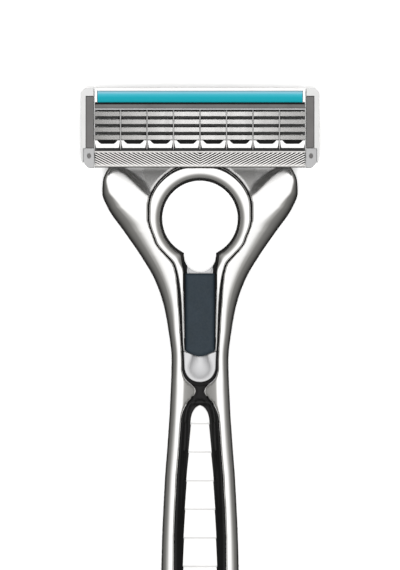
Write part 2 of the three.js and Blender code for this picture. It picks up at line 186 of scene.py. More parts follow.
def curve_through(table):
    """A smooth function through [y, value] pairs with no overshoot."""
    ys = np.array([row[0] for row in table], float)
    vs = np.array([row[1] for row in table], float)
    secants = np.diff(vs) / np.diff(ys)
    before, after = secants[:-1], secants[1:]
    total = np.where(before + after == 0, 1, before + after)
    inner = np.where(before * after > 0, 2 * before * after / total, 0)
    tangents = np.concatenate([[0], inner, [0]])

    def value(y):
        y = np.clip(y, ys[0], ys[-1])
        i = np.clip(np.searchsorted(ys, y) - 1, 0, len(ys) - 2)
        span = ys[i + 1] - ys[i]
        t = (y - ys[i]) / span
        ease = t * t * (3 - 2 * t)
        lean = span * (tangents[i] * t * (1 - t) ** 2 - tangents[i + 1] * t * t * (1 - t))
        return vs[i] * (1 - ease) + vs[i + 1] * ease + lean

    return value


def net_of(field, xs, ys, zs, polish=3):
    """Quad mesh of field = 0 on a grid of lines, its corners moved onto the surface. Inside is negative."""
    X, Y, Z = np.meshgrid(xs, ys, zs, indexing="ij")
    F = field(X, Y, Z)
    inside = F < 0
    nx, ny, nz = inside.shape
    corner = [(slice(i, nx - 1 + i), slice(j, ny - 1 + j), slice(k, nz - 1 + k))
              for i in (0, 1) for j in (0, 1) for k in (0, 1)]
    count = sum(inside[c].astype(np.int8) for c in corner)
    active = (count > 0) & (count < 8)
    number = -np.ones(active.shape, np.int64)
    number[active] = np.arange(active.sum())
    total = np.zeros((int(active.sum()), 3))
    hits = np.zeros(int(active.sum()))
    pairs = [(a, b) for a in range(8) for b in range(a + 1, 8) if bin(a ^ b).count("1") == 1]
    for a, b in pairs:
        fa, fb = F[corner[a]][active], F[corner[b]][active]
        crossing = (fa < 0) != (fb < 0)
        t = np.where(crossing, fa / np.where(crossing, fa - fb, 1), 0)
        for k, grid in enumerate((X, Y, Z)):
            pa, pb = grid[corner[a]][active], grid[corner[b]][active]
            total[:, k] += np.where(crossing, pa + t * (pb - pa), 0)
        hits += crossing
    points = total / hits[:, None]
    quads = []
    for axis in range(3):
        u, v = (axis + 1) % 3, (axis + 2) % 3
        a = np.take(inside, range(inside.shape[axis] - 1), axis)
        b = np.take(inside, range(1, inside.shape[axis]), axis)
        change = np.argwhere(a != b)
        keep = (change[:, u] > 0) & (change[:, v] > 0)
        keep &= (change[:, u] < inside.shape[u] - 1) & (change[:, v] < inside.shape[v] - 1)
        change = change[keep]
        leaving = a[tuple(change.T)]
        cells = []
        for du, dv in ((-1, -1), (0, -1), (0, 0), (-1, 0)):
            cell = change.copy()
            cell[:, u] += du
            cell[:, v] += dv
            cells.append(number[tuple(cell.T)])
        quad = np.stack(cells, 1)
        quad[~leaving] = quad[~leaving][:, ::-1]
        quads.append(quad)
    step = 0.01
    for _ in range(polish):
        x, y, z = points.T
        value = field(x, y, z)
        slope = np.stack([
            (field(x + step, y, z) - field(x - step, y, z)) / (2 * step),
            (field(x, y + step, z) - field(x, y - step, z)) / (2 * step),
            (field(x, y, z + step) - field(x, y, z - step)) / (2 * step),
        ], 1)
        move = value[:, None] * slope / np.maximum((slope ** 2).sum(1), 0.05)[:, None]
        points = points - np.clip(move, -0.12, 0.12)
    return points, np.concatenate(quads)


def lines(*spans):
    """Grid lines over (from, to, spacing) spans that follow each other."""
    parts = []
    for start, end, gap in spans:
        parts.append(np.linspace(start, end, max(2, round(abs(end - start) / gap)) + 1)[:-1])
    return np.concatenate(parts + [[spans[-1][1]]])


# ---- keyhole outlines ---------------------------------------------------------------------------

def slot_distance(x, y, half, bottom):
    """Distance to a tapered slot: half is a function of y, bottom the y of its round end."""
    low_half = float(half(np.array(float(bottom) + 3)))
    centre = bottom + low_half
    side = np.abs(x) - half(np.maximum(y, centre))
    end = np.hypot(x, y - centre) - low_half
    return np.where(y < centre, end, side)


SEAM_HALF = curve_through([(-30, 2.72), (-25, 2.86), (-21.5, 3.1), (-18, 3.22), (-14.4, 3.41), (-10.6, 3.85),
                           (-8.0, 4.6), (-6.4, 5.7), (-4, 7.6)])
OPEN_HALF = curve_through([(-30, 2.66), (-25, 2.72), (-21.5, 2.82), (-14.4, 2.96), (-5, 2.96)])
CHAMFER = curve_through([(-31, 1.1), (-29, 0.9), (-27.5, 0.5), (-25, 0.35), (-21.5, 0.36), (-14.4, 0.62),
                         (-10.6, 0.5), (-8, 0.34), (-5, 0.3), (9, 0.3)])
SEAM_GAP = curve_through([(-31, 0.5), (-28, 0.44), (-25, 0.34), (-21.5, 0.3), (-14.4, 0.42), (-10.6, 0.28),
                          (-7, 0.18), (-3, 0.15), (3, 0.2), (9, 0.12)])
SCOOP_END = -29.15
OPEN_R = 6.78
BUTTON_TOP, BUTTON_HALF = -9.75, 2.58


def button_end(x):
    """The button's lower edge, bowed out in the middle."""
    return -23.55 - 0.9 * np.cos(np.clip(x / BUTTON_HALF, -1, 1) * math.pi / 2) ** 1.3


def seam_distance(x, y):
    """Outline of the bezel: a ring that is fuller above than below, drawn out into the slot."""
    radius = BEZEL_R + 0.27 * smooth_step((y - 0.5) / 3.5) - 0.35 * smooth_step(-y / 4)
    ring = np.hypot(x, y - 0.55 * smooth_step((y + 1) / 4)) - radius
    return smin(ring, np.maximum(slot_distance(x, y, SEAM_HALF, SCOOP_END), y + 3), 0.9)


def opening_distance(x, y):
    """Outline of the bezel's inner edge."""
    ring = np.hypot(x, y + 0.1 * smooth_step(-y / 3)) - OPEN_R
    return smin(ring, np.maximum(slot_distance(x, y, OPEN_HALF, SCOOP_END), y + 3), 0.6)


# ---- handle -------------------------------------------------------------------------------------

half_at = curve_through(HALF_WIDTH)
back_at = curve_through(BACK)
front_at = curve_through(FRONT)


# The hollows beside the opening start along a line through this point, square to this direction.
HOLLOW_AT = (8.1, 5.0)
HOLLOW_X, HOLLOW_Y = 0.567, 0.823

# How far the front edge's rounding reaches inwards, and how far it falls, along the handle.
FLANK_REACH = curve_through([(-112, 3.0), (-45, 2.9), (-31, 2.8), (-28, 2.3), (-21.5, 2.3), (-14.4, 3.7),
                             (-8, 5.6), (-3, 6.9), (0, 5.6), (3.2, 3.9), (5, 2.4), (7, 1.3), (10, 1.1)])
FLANK_FALL = curve_through([(-112, 2.0), (-45, 1.6), (-30, 1.6), (-21.5, 1.8), (-14.4, 2.6),
                            (-8, 3.1), (-3, 3.3), (3.2, 2.6), (5, 1.9), (7, 1.3), (10, 1.1)])


def handle_body(x, y, z):
    """Casting with broad rounded flanks, before anything is cut into it."""
    w = half_at(y)
    slope = (half_at(y + 0.05) - half_at(y - 0.05)) / 0.1
    depth = (w - np.abs(x)) / np.sqrt(1 + slope ** 2)
    depth = smin(depth, NOSE_END - y, 2.0)
    tall = (front_at(y) - back_at(y)) / 2
    reach = np.minimum(FLANK_REACH(y), w * 0.98)
    fall = np.minimum(FLANK_FALL(y), tall)
    u = np.maximum(1 - depth / reach, 0)
    front = np.maximum(z - front_at(y) + fall, 0) / fall
    back = np.maximum(back_at(y) + tall - z, 0) / tall
    is_front = front > 0
    u = np.where(is_front, u, np.maximum(1 - depth / np.minimum(w * 0.98, 7.0), 0))
    v, high = np.where(is_front, front, back), np.where(is_front, fall, tall)
    power = 2.25
    q = (u ** power + v ** power) ** (1 / power)
    scale = np.sqrt((u / reach) ** 2 + (v / high) ** 2) / np.maximum(np.sqrt(u * u + v * v), 1e-4)
    f = (q - 1) / np.maximum(scale, 0.1)
    # The front sinks towards the middle between the scoop and the grip.
    inward = np.maximum(half_at(y) - 1.6 - np.abs(x), 0)
    sink = 0.57 * inward ** 2 / (inward + 0.6) * smooth_step((-26.6 - y) / 2)
    f = smax(f, (z - front_at(y) + sink) * 0.8, 0.15)
    return smax(f, BODY_END - y, 0.4)


def grip_half(y):
    return np.minimum(half_at(y) - 2.1, 4.6)


GRIP_TOP, GRIP_LOW = -31.7, -106.0


def strip_distance(x, y, half, top, low, round_end):
    """Distance to a long strip with arched ends; half is the half width at y."""
    near = np.minimum(top - y, y - low)
    arch = np.sqrt(np.clip(1 - (1 - np.clip(near / round_end, 0, 1)) ** 2, 0, 1))
    side = np.abs(x) - half * arch
    return np.maximum(side * 0.8, -near)


def box_distance(x, y, z, low, high):
    return np.maximum.reduce([low[0] - x, x - high[0], low[1] - y, y - high[1], low[2] - z, z - high[2]])


def neck_inlay(x, y):
    """Distance to the waisted black inlay between the finger scoop and the grip."""
    waist = 0.6 + 0.42 * np.abs(y + 30.6) ** 1.8
    return np.maximum((np.abs(x) - waist) * 0.8, np.abs(y + 30.6) - 2.2)


def handle_field(x, y, z):
    ax = np.abs(x)
    f = handle_body(x, y, z)
    top = front_at(y)
    # Three-sided hollows between the arms and the ring: a flat floor, and a flank that climbs to the arm.
    into = HOLLOW_Y * (y - HOLLOW_AT[1]) - HOLLOW_X * (ax - HOLLOW_AT[0])
    floor = 11.8 - 0.2 * (np.minimum(y, 8.6) - 5) + 0.33 * np.maximum(10 - ax, 0)
    wide = 2.3 - 1.6 * smooth_step((ax - 9) / 4.5)
    flank = top - 0.3 * (2.3 / wide) ** 2 * np.maximum(into + wide, 0) ** 2
    hollow = np.maximum(smax(floor, flank, 0.6) - z, 3.0 - ax)
    f = smax(f, -hollow * 0.6, 0.2)
    # Pocket of the bezel with its chamfer, and the deeper ways of the slider, the dock and the plunger.
    seam = seam_distance(x, y)
    width = CHAMFER(y)
    chamfer = ((width - seam) * 1.3 + z - top) * 0.6
    f = smax(f, chamfer, 0.12)
    f = smax(f, -np.maximum(seam - SEAM_GAP(y), np.where(y > -9.5, 5.0, 7.95) - z), 0.15)
    inlay = np.maximum(neck_inlay(x, y), 9.0 - z)
    f = smax(f, -inlay, 0.3)
    cover = np.minimum(np.hypot(x, y) - 10.6, box_distance(x, y, z, (-4.6, -12.8, -9), (4.6, -6, 30)))
    f = smax(f, -np.maximum(cover, z - 7.95), 0.2)
    ways = np.minimum(
        box_distance(ax, y, z, (3.1, 9.9, 8.3), (6.2, 20, 10.9)),
        box_distance(ax, y, z, (6.75, 0, 8.0), (8.5, 20, 9.95)),
    )
    ways = np.minimum(ways, np.maximum(np.hypot(x, z - 10) - 1.5, 9.9 - y))
    swing = np.minimum(np.hypot(x, y - 1.6), np.hypot(x, y - 3.2)) - 9.05
    ways = np.minimum(ways, np.maximum(swing, box_distance(ax, y, z, (5.5, -8, 8.0), (9.4, 6, 9.95))))
    f = smax(f, -ways, 0.15)
    # Front channel for the grip, back pocket for the pad.
    channel = strip_distance(x, y, grip_half(y), GRIP_TOP, GRIP_LOW, 4.2)
    f = smax(f, -np.maximum(channel, 6.0 - z), 0.35)
    pad = strip_distance(x, y, 4.12, -51.9, -100.1, 4.1)
    return smax(f, -np.maximum(pad, z - 2.2), 0.25)


HEAD_TOP = 12.98


def bezel_field(x, y, z):
    """Bright flat rim, then a shallow and a steep band down to the opening."""
    seam = seam_distance(x, y) + 0.06
    q = opening_distance(x, y)
    ring_part = smooth_step((y + 10) / 3.5)
    shallow, steep = 1.3 * ring_part, 0.36 * ring_part
    crease = HEAD_TOP - 0.58 * (shallow - steep)
    rim = smax(seam, z - HEAD_TOP, 0.2 + 0.3 * ring_part)
    rim = smax(rim, (z - HEAD_TOP + 0.58 * (shallow - q)) * 0.86, 0.05 + 0.25 * ring_part)
    rim = smax(rim, (z - crease + 2.4 * (steep - q)) / 2.6, 0.1)
    rim = smax(rim, -q, 0.08)
    rim = smax(rim, -23.7 - y, 0.3)
    return smax(rim, 10.12 - z, 0.15)


def seam_shade_field(x, y, z):
    """Thin black band that lines the joint: painted shade, standing in for the shadow deep in the gap, so
    that no light comes back out of it.
    """
    seam = seam_distance(x, y)
    return np.maximum.reduce([seam - SEAM_GAP(y) - 0.1, -0.12 - seam, z - 11.9, 11.2 - z])


def bowl_field(x, y, z):
    """Scoop with upright side walls that lean out towards the button."""
    block = slot_distance(x, y, SEAM_HALF, SCOOP_END) + 0.05
    block = smax(np.maximum(block, y + 21.2), z - 12.3, 0.3)
    side = 1.45 + 1.1 * smooth_step((-24.2 - y) / 3.4)
    dish = (np.sqrt((x / side) ** 2 + ((y + 24.8) / 3.95) ** 2 + ((z - 13.3) / 3.6) ** 2) - 1) * 1.6
    under_button = np.where(y > button_end(x) - 0.1, z - 9.7, -9)
    return smax(np.maximum(smax(block, -dish, 0.7), under_button), 8.12 - z, 0.1)


# ---- materials ----------------------------------------------------------------------------------

class Nodes:
    """A material being built: add nodes and join them by name."""

    def __init__(self, name):
        self.material = bpy.data.materials.new(name)
        self.material.use_nodes = True
        self.tree = self.material.node_tree
        self.shader = self.tree.nodes["Principled BSDF"]
        self.place = self.add("ShaderNodeTexCoord").outputs["Object"]

    def add(self, kind, **values):
        node = self.tree.nodes.new(kind)
        for key, value in values.items():
            if hasattr(node, key):
                setattr(node, key, value)
            else:
                node.inputs[key.replace("_", " ")].default_value = value
        return node

    def link(self, a, b):
        self.tree.links.new(a, b)

    def noise(self, scale, detail=3, stretch=(1, 1, 1)):
        mapping = self.add("ShaderNodeMapping")
        mapping.inputs["Scale"].default_value = stretch
        self.link(self.place, mapping.inputs["Vector"])
        noise = self.add("ShaderNodeTexNoise")
        noise.inputs["Scale"].default_value = scale
        noise.inputs["Detail"].default_value = detail
        self.link(mapping.outputs["Vector"], noise.inputs["Vector"])
        return noise.outputs["Fac"]

    def ramp(self, source, stops):
        ramp = self.add("ShaderNodeValToRGB")
        elements = ramp.color_ramp.elements
        while len(elements) < len(stops):
            elements.new(0.5)
        for element, (at, colour) in zip(elements, stops):
            element.position = at
            element.color = (*colour, 1) if len(colour) == 3 else colour
        self.link(source, ramp.inputs["Fac"])
        return ramp.outputs["Color"]

    def spread(self, source, low, high, from_low=0.3, from_high=0.7):
        span = self.add("ShaderNodeMapRange")
        ends = {"From Min": from_low, "From Max": from_high, "To Min": low, "To Max": high}
        for key, value in ends.items():
            span.inputs[key].default_value = value
        self.link(source, span.inputs["Value"])
        return span.outputs["Result"]

    def bump(self, source, strength, distance=0.0001):
        bump = self.add("ShaderNodeBump")
        bump.inputs["Strength"].default_value = strength
        bump.inputs["Distance"].default_value = distance
        self.link(source, bump.inputs["Height"])
        self.link(bump.outputs["Normal"], self.shader.inputs["Normal"])


def shade(name, dark, light, rough, metallic=0.0, grain=900, bump=0.1, stretch=(1, 1, 1)):
    """Material with a fine mottle between two close colours, uneven roughness and a fine grain."""
    nodes = Nodes(name)
    mottle = nodes.noise(grain / 6, 4, stretch)
    nodes.link(nodes.ramp(mottle, [(0.3, dark), (0.7, light)]), nodes.shader.inputs["Base Color"])
    fine = nodes.noise(grain, 5, stretch)
    nodes.link(nodes.spread(fine, rough[0], rough[1]), nodes.shader.inputs["Roughness"])
    nodes.shader.inputs["Metallic"].default_value = metallic
    nodes.bump(fine, bump, 0.00003)
    return nodes.material


def teal_gel():
    """Gel bar with a painted highlight: paler where its upper edge turns away; also slightly streaked along
    its length.
    """
    nodes = Nodes("teal_gel")
    split = nodes.add("ShaderNodeSeparateXYZ")
    nodes.link(nodes.place, split.inputs["Vector"])
    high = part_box("lubricating_strip")[1].y
    # Painted highlight: the colour pales over the last 1.85 mm towards the upper edge.
    across = nodes.spread(split.outputs["Y"], 0, 1, high - 0.00185, high)
    streak = nodes.noise(900, 3, (0.04, 1, 1))
    add = nodes.add("ShaderNodeMath", operation="MULTIPLY_ADD")
    nodes.link(streak, add.inputs[0])
    add.inputs[1].default_value = 0.16
    nodes.link(across, add.inputs[2])
    colour = nodes.ramp(add.outputs["Value"], [
        (0.06, (0.003, 0.18, 0.215)), (0.42, (0.004, 0.195, 0.24)), (0.70, (0.03, 0.25, 0.31)),
        (0.98, (0.19, 0.36, 0.43)),
    ])
    nodes.link(colour, nodes.shader.inputs["Base Color"])
    fine = nodes.noise(1500, 4)
    nodes.link(nodes.spread(fine, 0.42, 0.6), nodes.shader.inputs["Roughness"])
    nodes.shader.inputs["Specular IOR Level"].default_value = 0.15
    nodes.bump(fine, 0.15, 0.00003)
    return nodes.material


def chrome():
    """Mirror chrome, left satin in the cast hollows beside the opening, out of a polishing wheel's reach."""
    nodes = Nodes("chrome")
    nodes.link(nodes.ramp(nodes.noise(50, 4), [(0.3, (0.86, 0.855, 0.845)), (0.7, (0.90, 0.895, 0.885))]),
               nodes.shader.inputs["Base Color"])
    split = nodes.add("ShaderNodeSeparateXYZ")
    nodes.link(nodes.place, split.inputs["Vector"])
    out = nodes.add("ShaderNodeMath", operation="ABSOLUTE")
    nodes.link(split.outputs["X"], out.inputs[0])
    # The hollow starts along a slanted line; how far a point lies beyond it, in metres.
    along = nodes.add("ShaderNodeMath", operation="MULTIPLY_ADD")
    nodes.link(split.outputs["Y"], along.inputs[0])
    along.inputs[1].default_value = HOLLOW_Y
    start = (HOLLOW_X * HOLLOW_AT[0] - HOLLOW_Y * HOLLOW_AT[1]) * MM
    along.inputs[2].default_value = start - HOLLOW_Y * RING.y
    into = nodes.add("ShaderNodeMath", operation="MULTIPLY_ADD")
    nodes.link(out.outputs["Value"], into.inputs[0])
    into.inputs[1].default_value = -HOLLOW_X
    nodes.link(along.outputs["Value"], into.inputs[2])
    satin = nodes.spread(into.outputs["Value"], 0.055, 0.46, -2.5 * MM, -1.1 * MM)
    nodes.link(satin, nodes.shader.inputs["Roughness"])
    nodes.shader.inputs["Metallic"].default_value = 1.0
    nodes.bump(nodes.noise(300, 5), 0.012, 0.00003)
    return nodes.material


def fin_rubber():
    """Pale rubber with painted shade: black at the fins' feet and pale at the crests, standing in for the
    shadow trapped in the fine gaps.
    """
    nodes = Nodes("fin_rubber")
    split = nodes.add("ShaderNodeSeparateXYZ")
    nodes.link(nodes.place, split.inputs["Vector"])
    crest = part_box("fin_guard")[1].z
    # Painted shade: the colour follows height, from black at the fins' feet to pale at their crests.
    height = nodes.spread(split.outputs["Z"], 0, 1, crest - 0.0007, crest)
    fine = nodes.noise(1800, 3)
    mix = nodes.add("ShaderNodeMath", operation="MULTIPLY_ADD")
    nodes.link(fine, mix.inputs[0])
    mix.inputs[1].default_value = 0.1
    nodes.link(height, mix.inputs[2])
    colour = nodes.ramp(mix.outputs["Value"], [
        (0.2, (0.004, 0.004, 0.004)), (0.55, (0.05, 0.048, 0.046)), (0.85, (0.46, 0.45, 0.44)),
        (1.0, (0.55, 0.54, 0.53)),
    ])
    nodes.link(colour, nodes.shader.inputs["Base Color"])
    nodes.link(nodes.spread(fine, 0.5, 0.66), nodes.shader.inputs["Roughness"])
    nodes.bump(fine, 0.1, 0.00003)
    return nodes.material


CHROME = chrome()
POLISH = shade("polished_chrome", (0.86, 0.855, 0.845), (0.90, 0.895, 0.885), (0.05, 0.075), 1.0,
               300, 0.012)
BLADE = shade("honed_steel", (0.40, 0.395, 0.39), (0.44, 0.435, 0.43), (0.20, 0.26), 1.0, 900, 0.006,
              stretch=(1, 0.06, 0.06))
STEEL = shade("drawn_steel", (0.60, 0.595, 0.59), (0.68, 0.675, 0.67), (0.25, 0.38), 1.0, 1500, 0.08)
NAVY = shade("navy_rubber", (0.008, 0.014, 0.019), (0.010, 0.017, 0.024), (0.55, 0.7), 0, 2600, 0.35)
PALE = shade("pale_plastic", (0.33, 0.33, 0.335), (0.37, 0.37, 0.375), (0.30, 0.42), 0, 900, 0.12)
CAP_WHITE = shade("cap_white", (0.36, 0.36, 0.358), (0.40, 0.40, 0.398), (0.35, 0.45), 0, 1100, 0.08)
PAD = shade("pad_plastic", (0.22, 0.22, 0.222), (0.26, 0.26, 0.262), (0.35, 0.48), 0, 900, 0.12)
WHITE = shade("white_plastic", (0.54, 0.538, 0.534), (0.58, 0.578, 0.574), (0.4, 0.52), 0, 1100, 0.12)
GLOSS_BLACK = shade("gloss_black", (0.003, 0.003, 0.003), (0.005, 0.005, 0.005), (0.10, 0.18), 0, 700, 0.03)
# Matt black, used also as painted shade: the dark sheets put into gaps and under parts stand in for their
# shadow.
MATT_BLACK_AND_SHADE = shade("matt_black_and_shade", (0.004, 0.004, 0.004), (0.008, 0.008, 0.008), (0.5, 0.7), 0, 900, 0.2)
# Dark housing plastic, set darker still as painted shade for the gaps between the blades.
HOUSING_AND_GAP_SHADE = shade("housing_plastic_and_gap_shade", (0.035, 0.035, 0.035), (0.05, 0.05, 0.05), (0.5, 0.65), 0, 1300, 0.2)
for dull, level in ((GLOSS_BLACK, 0.18), (MATT_BLACK_AND_SHADE, 0.1), (HOUSING_AND_GAP_SHADE, 0.15)):
    dull.node_tree.nodes["Principled BSDF"].inputs["Specular IOR Level"].default_value = level
GREY = shade("grey_plastic", (0.066, 0.063, 0.062), (0.084, 0.081, 0.080), (0.34, 0.5), 0, 1600, 0.2)
RUBBER = shade("dark_rubber", (0.018, 0.020, 0.024), (0.026, 0.028, 0.032), (0.6, 0.78), 0, 1500, 0.35)
FIN = fin_rubber()
TEAL = teal_gel()


# ---- handle pieces ------------------------------------------------------------------------------

def make_handle():
    fine = 0.3
    xs = lines((-17.9, 17.9, fine))
    ys = lines((-112.6, -105, 0.5), (-105, -36, 0.9), (-36, -29, 0.45), (-29, 14, fine))
    zs = lines((-0.3, 13.9, fine))
    points, faces = net_of(handle_field, xs, ys, zs)
    mesh_piece("handle_casting", points, faces, "handle", "chrome", CHROME, ["handle_frame"])


def make_bezel():
    gap = 0.11
    xs, ys, zs = lines((-9.8, 9.8, gap)), lines((-24.4, 10.2, gap * 1.3)), lines((9.8, 13.4, gap * 1.2))
    points, faces = net_of(bezel_field, xs, ys, zs)
    mesh_piece("bezel_ring", points, faces, "handle", "chrome", POLISH, ["keyhole_bezel"])


def make_seam_shade():
    xs, ys, zs = lines((-9.9, 9.9, 0.12)), lines((-29.8, 10.4, 0.15)), lines((11.0, 12.1, 0.18))
    points, faces = net_of(seam_shade_field, xs, ys, zs)
    # The band's black is painted shade in the joint round the bezel.
    mesh_piece("bezel_seam_shade", points, faces, "handle", "black_plastic", MATT_BLACK_AND_SHADE)


def make_bowl():
    xs, ys, zs = lines((-3.2, 3.2, 0.16)), lines((-29.4, -20.8, 0.16)), lines((7.8, 12.3, 0.16))
    points, faces = net_of(bowl_field, xs, ys, zs)
    mesh_piece("finger_scoop", points, faces, "handle", "pale_plastic", PALE, ["thumb_bowl"])


def make_cover():
    """Dark back cover with the keyhole through it and a post for the spring."""
    outer = arc(0, 0, 10.4, -64.9, 244.9, 72) + [(-4.4, -12.5), (4.4, -12.5)]
    hole = arc(0, 0, 6.72, -65, 245, 64) + arc(0, -6.75, 2.86, 180, 360, 20)
    points, faces = plate_with_hole(outer, hole, 6.35, 7.8)
    post = prism(rounded_rect(-0.85, 0.85, -12.4, -11.9, 0.15, 3), 7.7, 9.85)
    shape = merged((points, faces), post)
    cover = mesh_piece("back_cover", *shape, "handle", "grey_plastic", MATT_BLACK_AND_SHADE, ["head_back_cover"], False)
    soften(cover, 0.18)


def plate_with_hole(outer, hole, low, high):
    """A flat plate between two outlines, filled by a triangulated face so its edge stays clean."""
    made = bmesh.new()
    loops = []
    for outline in (outer, hole):
        corners = [made.verts.new((x, y, low)) for x, y in outline]
        edges = [made.edges.new((a, b)) for a, b in zip(corners, corners[1:] + corners[:1])]
        loops += edges
    flat = bmesh.ops.triangle_fill(made, use_beauty=True, use_dissolve=False, edges=loops)
    faces = [g for g in flat["geom"] if isinstance(g, bmesh.types.BMFace)]
    grown = bmesh.ops.extrude_face_region(made, geom=faces)
    lifted = [g for g in grown["geom"] if isinstance(g, bmesh.types.BMVert)]
    bmesh.ops.translate(made, verts=lifted, vec=(0, 0, high - low))
    bmesh.ops.recalc_face_normals(made, faces=made.faces)
    made.verts.index_update()
    points = [tuple(v.co) for v in made.verts]
    result = [[v.index for v in f.verts] for f in made.faces]
    made.free()
    return points, result


def closed_grid(points, rows, width, floor):
    """A grid of points closed by walls from its border down to a flat floor."""
    faces = []
    for i in range(rows - 1):
        for j in range(width - 1):
            a = i * width + j
            faces.append([a, a + width, a + width + 1, a + 1])
    last = (rows - 1) * width
    border = list(range(width))
    border += [i * width + width - 1 for i in range(1, rows)]
    border += [last + j for j in range(width - 2, -1, -1)]
    border += [i * width for i in range(rows - 2, 0, -1)]
    start, n = len(points), len(border)
    points = points + [(points[i][0], points[i][1], floor) for i in border]
    faces += [[border[k], border[(k + 1) % n], start + (k + 1) % n, start + k] for k in range(n)]
    faces.append([start + k for k in range(n)])
    return points, faces


def make_button():
    """Navy thumb button, bowed out at its lower edge and slightly crowned."""
    top, half = BUTTON_TOP, BUTTON_HALF
    rows = 36
    columns = 17
    points = []
    for i in range(rows + 1):
        for j in range(columns + 1):
            s = 2 * j / columns - 1
            bottom = float(button_end(s * half))
            y = top + (bottom - top) * i / rows
            edge = min((1 - abs(s)) * half, top - y, y - bottom)
            drop = 0.32 * (1 - math.sqrt(max(0, 1 - (1 - min(edge / 0.4, 1)) ** 2)))
            points.append((s * half, y, 12.62 - 0.16 * s * s - drop))
    points, faces = closed_grid(points, rows + 1, columns + 1, 10.12)
    mesh_piece("thumb_button", points, faces, "button", "navy", NAVY, ["release_button"])
    # Black strip along the button's sides: painted shade in the gap between the button and the bezel.
    side = [(2.91, -9.95), (2.92, -14.4), (2.77, -21.5), (2.7, -23.3)]
    skirt = prism(side + [(-x, y) for x, y in side[::-1]], 10.15, 11.2)
    soften(mesh_piece("button_skirt", *skirt, "button", "navy", MATT_BLACK_AND_SHADE, [], False), 0.1, 2)


def make_spring(name, node, y0, y1, z, turns):
    """Coil spring along y from y0 to y1, wound round an axis at height z with the given number of turns."""
    around, radius, wire, steps = 8, 0.55, 0.12, 16
    count = turns * steps
    points, faces = [], []
    for i in range(count + 1):
        a = 2 * math.pi * i / steps
        share = i / count
        y = y0 + (y1 - y0) * share
        for k in range(around):
            b = 2 * math.pi * k / around
            reach = radius + wire * math.cos(b)
            points.append((reach * math.cos(a), y + wire * math.sin(b), z + reach * math.sin(a)))
    for i in range(count):
        for k in range(around):
            a, b = i * around + k, i * around + (k + 1) % around
            faces.append([a, b, b + around, a + around])
    faces += [list(range(around))[::-1], [count * around + k for k in range(around)]]
    piece = mesh_piece(name, points, faces, "handle", "steel", STEEL, [node])
    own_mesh(piece)


def make_slider():
    """Slider under the button: forks round the opening in black, painted shade under the bezel, and a pale
    tongue with the spring's window.
    """
    outer = [(-2.5, -20.7), (2.5, -20.7), (2.5, -10.4), (3.3, -10.0), (3.3, -8.15)]
    outer += arc(0, 0, 8.8, -66, 9.8, 26)
    outer += [(8.2, 1.6), (8.2, 10.3), (7.0, 10.3), (7.0, 1.5)]
    outer += arc(0, 0, 7.0, 12, -62, 24)[1:]
    outer += arc(0, -6.75, 2.8, 0, -180, 24)
    outer += arc(0, 0, 7.0, 242, 168, 24)[:-1]
    outer += [(-7.0, 1.5), (-7.0, 10.3), (-8.2, 10.3), (-8.2, 1.6)]
    outer += arc(0, 0, 8.8, 170.2, 246, 26)
    outer += [(-3.3, -8.15), (-3.3, -10.0), (-2.5, -10.4)]
    window = rounded_rect(-1.15, 1.15, -19.4, -11.6, 0.3, 4)
    forks = plate_with_hole(outer, window, 8.25, 9.55)
    # The forks belong to the pale slider; their black is painted shade.
    soften(mesh_piece("slider_forks", *forks, "button", "pale_plastic", MATT_BLACK_AND_SHADE, [], False), 0.12, 2)
    tongue = [(-2.3, -20.6), (2.3, -20.6)] + arc(0, -6.75, 2.8, -34.8, -145.2, 20)
    tongue = plate_with_hole(tongue, window, 8.3, 9.7)
    piece = mesh_piece("slider_tongue", *tongue, "button", "pale_plastic", PALE, ["ejector_slider"], False)
    soften(piece, 0.1, 2)


def grid_cap(xs, rows, height, floor):
    """Closed body from a height over a strip: rows give (y, half width), height is a function of (s, y)."""
    points = [(s * half, y, height(s, y)) for y, half in rows for s in xs]
    return closed_grid(points, len(rows), len(xs), floor)


def arched(top, low, radius, ends, gap):
    """Rows down a strip with arched ends: (y, share of the full width)."""
    rows = []
    for i in range(ends + 1):
        a = (i + 0.25) / (ends + 0.25) * math.pi / 2
        rows.append((top - radius * (1 - math.cos(a)), math.sin(a)))
    middle = np.arange(top - radius - gap, low + radius, -gap)
    rows += [(float(y), 1.0) for y in middle]
    rows += [(low + radius * (1 - math.cos((i + 0.25) / (ends + 0.25) * math.pi / 2)),
              math.sin((i + 0.25) / (ends + 0.25) * math.pi / 2)) for i in range(ends, -1, -1)]
    return rows


